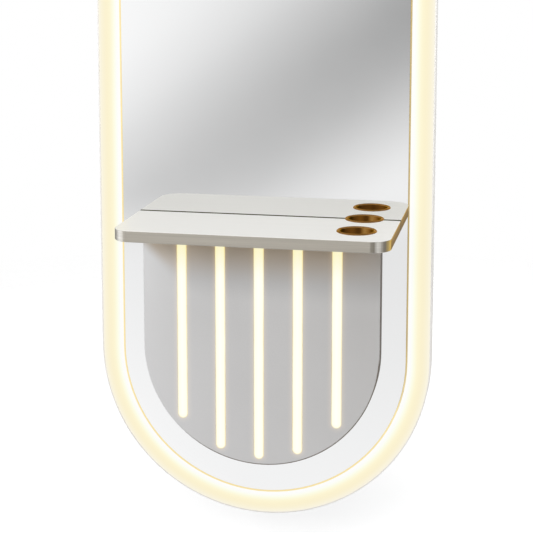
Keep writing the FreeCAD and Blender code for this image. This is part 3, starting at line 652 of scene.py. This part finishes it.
def fastener(head, shank, length, drive, reach, depth):
    """Screw with its seat at height 0: head outline, threaded shank, and a drive sunk in the head."""
    pitch = THREAD_PITCH * shank
    turns = int((length - shank) / pitch)
    profile = list(head) + [(shank, -0.2)]
    for _ in range(turns):
        start = profile[-1][1]
        profile += [(THREAD_ROOT * shank, start - 0.5 * pitch), (shank, start - pitch)]
    profile += [(SHANK_TIP * shank, -length), (0, -length)]
    bm = bmesh.new()
    turned(bm, profile, Matrix.Identity(4), SCREW_SEGMENTS)
    top = head[0][1]
    outline = [(reach * x, reach * y) for x, y in drive]
    return cut(finished_mesh("fastener", bm), prism(outline, top - depth, top + 1, DRIVE_TAPER))


def pan_head(radius, height):
    """Domed screw head, from the middle of its top out and down to its seat."""
    steps = [math.radians(a) for a in range(0, 91, 10)]
    dome = [(radius * math.sin(a), height * (0.35 + 0.65 * math.cos(a))) for a in steps]
    return dome + [(radius, 0.15), (radius - 0.15, 0)]


def flat_head(radius, shank):
    """Countersunk screw head, flush with its seat."""
    return [(0, 0), (radius - 0.25, 0), (radius, -0.2), (shank, shank - radius)]


def copies(mesh, places):
    bm = bmesh.new()
    for place in places:
        start = len(bm.verts)
        bm.from_mesh(mesh)
        bm.verts.ensure_lookup_table()
        bmesh.ops.transform(bm, matrix=place, verts=bm.verts[start:])
    return finished_mesh("copies", bm)


def pointing(direction, at):
    """Frame whose axis runs along a direction."""
    return Matrix.Translation(at) @ Vector(direction).to_track_quat("Z", "Y").to_matrix().to_4x4()


# Screws with round heads, in millimetres; each drive's reach is a share of the head's radius
for node, out, head_height, shank, drive, reach, depth in (
        ("back_screws", 1, 2.0, 2.0, CROSS, 0.6, 1.3),
        ("hanger_bolts", 1, 3.0, 3.0, HEXAGON, 0.45, 1.8),
        ("arm_bolts", -1, 5.0, 4.0, HEXAGON, 0.45, 3.0)):
    places = []
    for low, high in solids_of(node):
        middle = (low + high) / 2
        outer = high.y if out > 0 else low.y
        places.append(pointing((0, out, 0), (middle.x, outer - out * head_height * MM, middle.z)))
        radius = (high.x - low.x) / 2 / MM
        length = (high.y - low.y) / MM - head_height
    mesh = fastener(pan_head(radius, head_height), shank, length, drive, reach * radius, depth)
    add_piece(node + "_cut", copies(mesh, places), "station", "zinc_fasteners", node)

# Countersunk screws up through the shelf's arms
ARM_SCREW_SHANK = 2.4
ARM_SCREW_DRIVE = 1.4
places = []
for low, high in solids_of("arm_screws"):
    middle = (low + high) / 2
    places.append(pointing((0, 0, -1), (middle.x, middle.y, low.z)))
    radius = (high.x - low.x) / 2 / MM
    length = (high.z - low.z) / MM
mesh = fastener(flat_head(radius, ARM_SCREW_SHANK), ARM_SCREW_SHANK, length,
                CROSS, 0.55 * radius, ARM_SCREW_DRIVE)
add_piece("arm_screws_cut", copies(mesh, places), "station", "zinc_fasteners", "arm_screws")

# Rubber bumpers with a hollow middle and a waist
BUMPER = [(0, 7.5), (4.6, 7.5), (5.2, 7.9), (5.5, 9.8), (6.2, 10.5), (12.4, 10.5), (13.5, 10.1), (14, 9.0),
          (14, 6.4), (13.5, 6.0), (13.5, 5.2), (14, 4.8), (14, 0.6), (13.6, 0), (0, 0)]
bm = bmesh.new()
for low, high in solids_of("wall_bumpers"):
    middle = (low + high) / 2
    turned(bm, BUMPER, pointing((0, 1, 0), (middle.x, low.y, middle.z)), RUBBER_SEGMENTS)
add_piece("wall_bumpers_turned", finished_mesh("bumpers", bm), "station", "black_rubber", "wall_bumpers")

# Cable grommet with rounded flanges
GROMMET = [(5.0, 0.7), (5.5, 0.1), (6.2, 0), (9.8, 0), (10.7, 0.3), (11, 0.9), (11, 1.5), (10.6, 1.95),
           (8, 2.0), (8, 3.5), (10.6, 3.55), (11, 4.0), (11, 4.6), (10.7, 5.2), (9.8, 5.5), (6.2, 5.5),
           (5.5, 5.4), (5.0, 4.8)]
bm = bmesh.new()
low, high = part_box("cable_grommet")
place = pointing((0, 1, 0), ((low.x + high.x) / 2, low.y, (low.z + high.z) / 2))
turned(bm, GROMMET, place, RUBBER_SEGMENTS, True)
add_piece("cable_grommet_moulded", finished_mesh("grommet", bm), "station", "black_rubber", "cable_grommet")

# Lines turned in the sleeves' bores, in millimetres
LINE_DEPTH = 0.22
LINE_PITCH = 1.8


def sleeve_profile(bore, outer, flange, rise, length):
    """Liner wall with turned lines inside and a lip of two beads, from its lower inner edge round."""
    profile = [(bore + 0.5, -length), (bore, 0.5 - length)]
    root = bore + LINE_DEPTH
    line = 2.0 - length
    while line < -3.0:
        profile += [(bore, line), (root, line + 0.35), (root, line + 0.7), (bore, line + 1.05)]
        line += LINE_PITCH
    profile.append((bore, -0.9))
    valley = (bore + flange) / 2 + 0.1
    for start, end, height in ((bore, valley, rise), (valley, flange, 0.8 * rise)):
        for step in range(1, 8):
            angle = math.pi * step / 8
            radius = (start + end) / 2 - (end - start) / 2 * math.cos(angle)
            profile.append((radius, 0.05 + (height - 0.05) * math.sin(angle)))
    profile += [(flange, 0.02), (flange - 0.1, 0), (outer, 0)]
    return profile + [(outer, 0.4 - length), (outer - 0.4, -length)]


for name in ("rear", "middle", "front"):
    node = "tool_sleeve_" + name
    low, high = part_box(node)
    centre = Vector(((low.x + high.x) / 2, (low.y + high.y) / 2, SHELF_TOP))
    flange = (high.x - low.x) / 2
    outer = flange - SLEEVE_FLANGE
    sizes = (outer - SLEEVE_WALL, outer, flange, high.z - SHELF_TOP + SLEEVE_LIP, SHELF_TOP - low.z)
    profile = sleeve_profile(*(size / MM for size in sizes))
    bm = bmesh.new()
    turned(bm, profile, Matrix.Translation(centre), SLEEVE_SEGMENTS, True)
    add_piece(node + "_turned", finished_mesh(node, bm), "sleeve_" + name, "sleeve_brass", node)

# The photograph's mirror shows the studio alone, so what stands before it keeps out of reflections
for obj in scene.objects:
    if obj.type == "MESH":
        obj.visible_glossy = min(v.co.y for v in obj.data.vertices) > MIRROR_Y - 2 * MM


# Studio

def area_light(name, place, target, size, watts):
    """Soft lamp, seen neither by the camera nor in reflections."""
    light = bpy.data.lights.new(name, "AREA")
    light.shape = "RECTANGLE"
    light.size, light.size_y = size
    light.energy = watts
    obj = bpy.data.objects.new(name, light)
    obj.location = place
    obj.rotation_euler = (Vector(target) - Vector(place)).to_track_quat("-Z", "Y").to_euler()
    obj.visible_camera = False
    obj.visible_glossy = False
    scene.collection.objects.link(obj)


def mirrored_studio(g):
    """Brightness that polished surfaces see, by direction: x to the right, y into the wall, z up."""
    x, y, z = g.split(g.node("TexCoord").outputs["Generated"])
    # A slanting grey band before the mirror, lighter towards the lower left
    slope = 0.76
    across = g.minus(z, g.times(x, slope))
    along = g.add(z, g.times(x, 1 / slope))
    band = g.ramp(g.remap(across, -0.11, 0.18), [
        (0.0, grey(1.0)), (0.107, grey(0.907)), (0.252, grey(0.659)), (0.393, grey(0.533)),
        (0.534, grey(0.598)), (0.679, grey(0.777)), (0.821, grey(0.931)), (1.0, grey(1.0))], "CARDINAL")
    upper = g.add(band, g.remap(along, -0.63, -0.13, 0.15, -0.15))
    # Below it a paler field, and grey where only views from high above or from below look
    lower = g.add(g.remap(x, -0.36, -0.2, 0.08, -0.06), g.remap(z, -0.4, -0.2, 1.06, 0.88))
    lower = g.blend(g.remap(z, -0.385, -0.46), lower, 0.68)
    middle = g.blend(g.remap(z, -0.222, -0.185, 1.0, 0.0), upper, lower)
    middle = g.blend(g.remap(z, -0.04, 0.1), middle, g.remap(z, 0.1, 0.5, 1.07, 0.66))
    # Beside it soft slanting waves of light
    wave = g.math("SINE", g.add(g.times(across, 11.0), 1.9))
    sides = g.add(g.times(wave, 0.18), 0.8)
    sides = g.smaller(g.add(sides, g.remap(x, -0.7, -0.92, 0.0, 0.34)), 1.08)
    sides = g.blend(g.remap(z, 0.4, 0.6), sides, g.remap(x, -0.4, 0.4, 0.75, 0.35))
    sides = g.blend(g.remap(z, -0.6, -0.8), sides, 0.85)
    turn = g.larger(g.remap(x, -0.02, 0.06, kind="SMOOTHSTEP"), g.remap(x, -0.43, -0.55, kind="SMOOTHSTEP"))
    # Behind the wall a bright middle
    behind = g.smaller(g.remap(x, -0.4, 0.1, 0.5, 1.1), g.remap(x, 0.55, 0.8, 1.1, 0.4))
    return g.blend(g.remap(y, 0.1, 0.3), g.blend(turn, middle, sides), behind)


def world():
    """Plain light all round; a white backdrop to the eye, and a soft studio gradient in reflections."""
    scene.world = bpy.data.worlds.new("studio")
    g = Graph("studio", scene.world)
    plain = g.node("Background", {0: grey(1.0), 1: 0.24})
    shine = g.node("Background", {0: grey(1.0), 1: mirrored_studio(g)})
    white = g.node("Background", {0: grey(1.0), 1: 1.0})
    glossy = g.node("LightPath").outputs["Is Glossy Ray"]
    light = g.node("MixShader", {0: glossy, 1: plain.outputs[0], 2: shine.outputs[0]})
    whole = g.node("MixShader", {0: g.seen(), 1: light.outputs[0], 2: white.outputs[0]})
    g.node("OutputWorld", {0: whole.outputs[0]})


def floor():
    """Pale studio floor that fades into the backdrop, clear from below."""
    g = Graph("studio_floor")
    x, y, _ = g.split(g.where())
    away = g.length(x, y)
    glow = g.times(g.seen(), g.remap(away, 0.5, 1.4, 0.47, 0.6))
    pale = g.node("BsdfPrincipled", {
        "Base Color": grey(0.8), "Roughness": 0.6, "Specular IOR Level": 0.2,
        "Emission Color": grey(1.0), "Emission Strength": glow})
    clear = g.node("BsdfTransparent")
    fade = g.larger(g.remap(away, 1.6, 3.2), g.node("NewGeometry").outputs["Backfacing"])
    surface = g.node("MixShader", {0: fade, 1: pale.outputs[0], 2: clear.outputs[0]})
    g.node("OutputMaterial", {0: surface.outputs[0]})
    bm = bmesh.new()
    bmesh.ops.create_circle(bm, cap_ends=True, radius=FLOOR_RADIUS, segments=96)
    mesh = finished_mesh("floor", bm)
    mesh.materials.append(g.owner)
    obj = bpy.data.objects.new("floor", mesh)
    obj.location = (0, 0, FLOOR_Z)
    obj.visible_glossy = False
    obj.visible_diffuse = False
    scene.collection.objects.link(obj)


area_light("front_softbox", (-0.2, -3.1, 0.8), (0.0, 0.0, -0.35), (2.2, 0.8), 69)
area_light("overhead_softbox", (0.1, -0.9, 1.4), (0.05, -0.2, -0.2), (1.8, 1.2), 19)
area_light("right_softbox", (1.9, -1.6, 0.3), (0.0, -0.1, -0.3), (0.5, 1.4), 6)
area_light("rear_softbox", (0.7, 2.6, 1.1), (0.0, 0.0, -0.1), (1.6, 1.6), 38)
world()
floor()

# Camera at the photograph's viewing angle
camera = bpy.data.objects.new("camera", bpy.data.cameras.new("camera"))
camera.data.sensor_width = SENSOR
camera.data.lens = SENSOR * FOCAL_PIXELS / IMAGE_PIXELS
camera.data.shift_y = CAMERA_SHIFT
camera.data.clip_end = 100
camera.location = CAMERA_PLACE
camera.rotation_euler = (math.pi / 2 - CAMERA_DOWN, 0, CAMERA_LEFT)
scene.collection.objects.link(camera)
scene.camera = camera

scene.view_settings.view_transform = "Standard"
